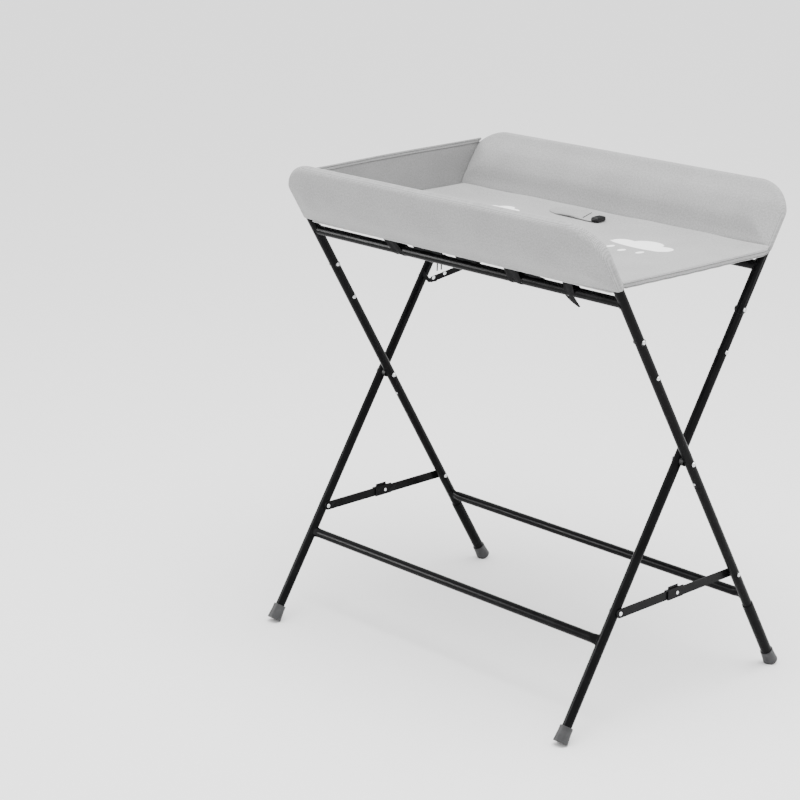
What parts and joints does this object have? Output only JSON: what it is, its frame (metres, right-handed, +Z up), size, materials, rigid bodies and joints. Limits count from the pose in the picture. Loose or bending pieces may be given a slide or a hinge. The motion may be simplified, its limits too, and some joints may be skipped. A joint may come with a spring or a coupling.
{
  "type": "folding changing table",
  "caption": "Folding changing table: crossed tube frames on a pivot carry two padded sides, a head panel and a mat, open at the foot end, with folding spreader links.",
  "frame": {"origin": "on the floor, under the middle of the table's bounding box", "axes": "+Z up, +X towards the open foot end, +Y towards the rear (the front padded side is at -Y)"},
  "size_m": [0.858, 0.6332, 0.9769],
  "materials": {
    "black_paint": "gloss black powder coat on steel tube and flat bar",
    "black_plastic": "moulded black plastic",
    "foot_rubber": "dark grey moulded foot",
    "zinc": "zinc-plated rivets, screws and spacers",
    "bare_steel": "plain drawn steel of the hidden joining tubes",
    "grey_fabric": "light grey woven polyester",
    "mat_fabric": "light grey coated cloth",
    "hem_fabric": "pale binding",
    "black_webbing": "black woven webbing and cord"
  },
  "bodies": {
    "rear_frame": {"belt_buckle": "black_plastic", "belt_strap": "grey_fabric", "foot_hem": "hem_fabric", "head_panel": "grey_fabric", "link_pin_front_left": "zinc", "link_pin_front_right": "zinc", "link_spacer_left": "zinc", "link_spacer_right": "zinc", "mat_pad": "mat_fabric", "pivot_bolt_left": "zinc", "pivot_bolt_right": "zinc", "pivot_spacer_left": "black_plastic", "pivot_spacer_right": "black_plastic", "rear_bolster": "grey_fabric", "rear_foot_left": "foot_rubber", "rear_foot_right": "foot_rubber", "rear_hoop_screw_left": "zinc", "rear_hoop_screw_right": "zinc", "rear_hoop_tube": "black_paint", "rear_joint_tube_left": "bare_steel", "rear_joint_tube_right": "bare_steel", "rear_leg_lower_left": "black_paint", "rear_leg_lower_right": "black_paint", "rear_leg_screw_left": "zinc", "rear_leg_screw_right": "zinc", "rear_leg_upper_left": "black_paint", "rear_leg_upper_right": "black_paint", "rear_rail": "black_paint", "rear_stretcher": "black_paint", "stay_bar": "black_paint", "stay_bracket": "black_paint", "stay_rivet_1": "zinc", "stay_rivet_2": "zinc", "tie_cord_1": "black_webbing", "tie_cord_2": "black_webbing"},
    "front_frame": {"band_tail": "black_webbing", "front_bolster": "grey_fabric", "front_foot_left": "foot_rubber", "front_foot_right": "foot_rubber", "front_hoop_screw_left": "zinc", "front_hoop_screw_right": "zinc", "front_hoop_tube": "black_paint", "front_joint_tube_left": "bare_steel", "front_joint_tube_right": "bare_steel", "front_leg_lower_left": "black_paint", "front_leg_lower_right": "black_paint", "front_leg_screw_left": "zinc", "front_leg_screw_right": "zinc", "front_leg_upper_left": "black_paint", "front_leg_upper_right": "black_paint", "front_rail": "black_paint", "front_stretcher": "black_paint", "link_pin_rear_left": "zinc", "link_pin_rear_right": "zinc"},
    "link_front_left": {"link_front_left": "black_paint", "link_rivet_left": "zinc"},
    "link_rear_left": {"link_rear_left": "black_paint"},
    "link_front_right": {"link_front_right": "black_paint", "link_rivet_right": "zinc"},
    "link_rear_right": {"link_rear_right": "black_paint"}
  },
  "joints": [
    {"name": "fold", "type": "hinge", "parent": "rear_frame", "child": "front_frame", "pos_m": [0, 0, 0.487], "axis": [-1, 0, 0], "range_deg": [0, 54], "deforming": ["mat_pad", "foot_hem", "head_panel"]},
    {"name": "link_front_left_pivot", "type": "hinge", "parent": "rear_frame", "child": "link_front_left", "pos_m": [-0.4, -0.16279, 0.22648], "axis": [1, 0, 0], "range_deg": [0, 54.5]},
    {"name": "link_rear_left_pivot", "type": "hinge", "parent": "link_front_left", "child": "link_rear_left", "pos_m": [-0.4, 0, 0.22648], "axis": [-1, 0, 0], "range_deg": [0, 162]},
    {"name": "link_front_right_pivot", "type": "hinge", "parent": "rear_frame", "child": "link_front_right", "pos_m": [0.4, -0.16279, 0.22648], "axis": [1, 0, 0], "range_deg": [0, 54.5]},
    {"name": "link_rear_right_pivot", "type": "hinge", "parent": "link_front_right", "child": "link_rear_right", "pos_m": [0.4, 0, 0.22648], "axis": [-1, 0, 0], "range_deg": [0, 162]}
  ],
  "couplings": [
    {"joint": "link_front_left_pivot", "follows": "fold", "ratio": 0.99136},
    {"joint": "link_rear_left_pivot", "follows": "fold", "ratio": 2.9827},
    {"joint": "link_front_right_pivot", "follows": "fold", "ratio": 0.99136},
    {"joint": "link_rear_right_pivot", "follows": "fold", "ratio": 2.9827}
  ]
}
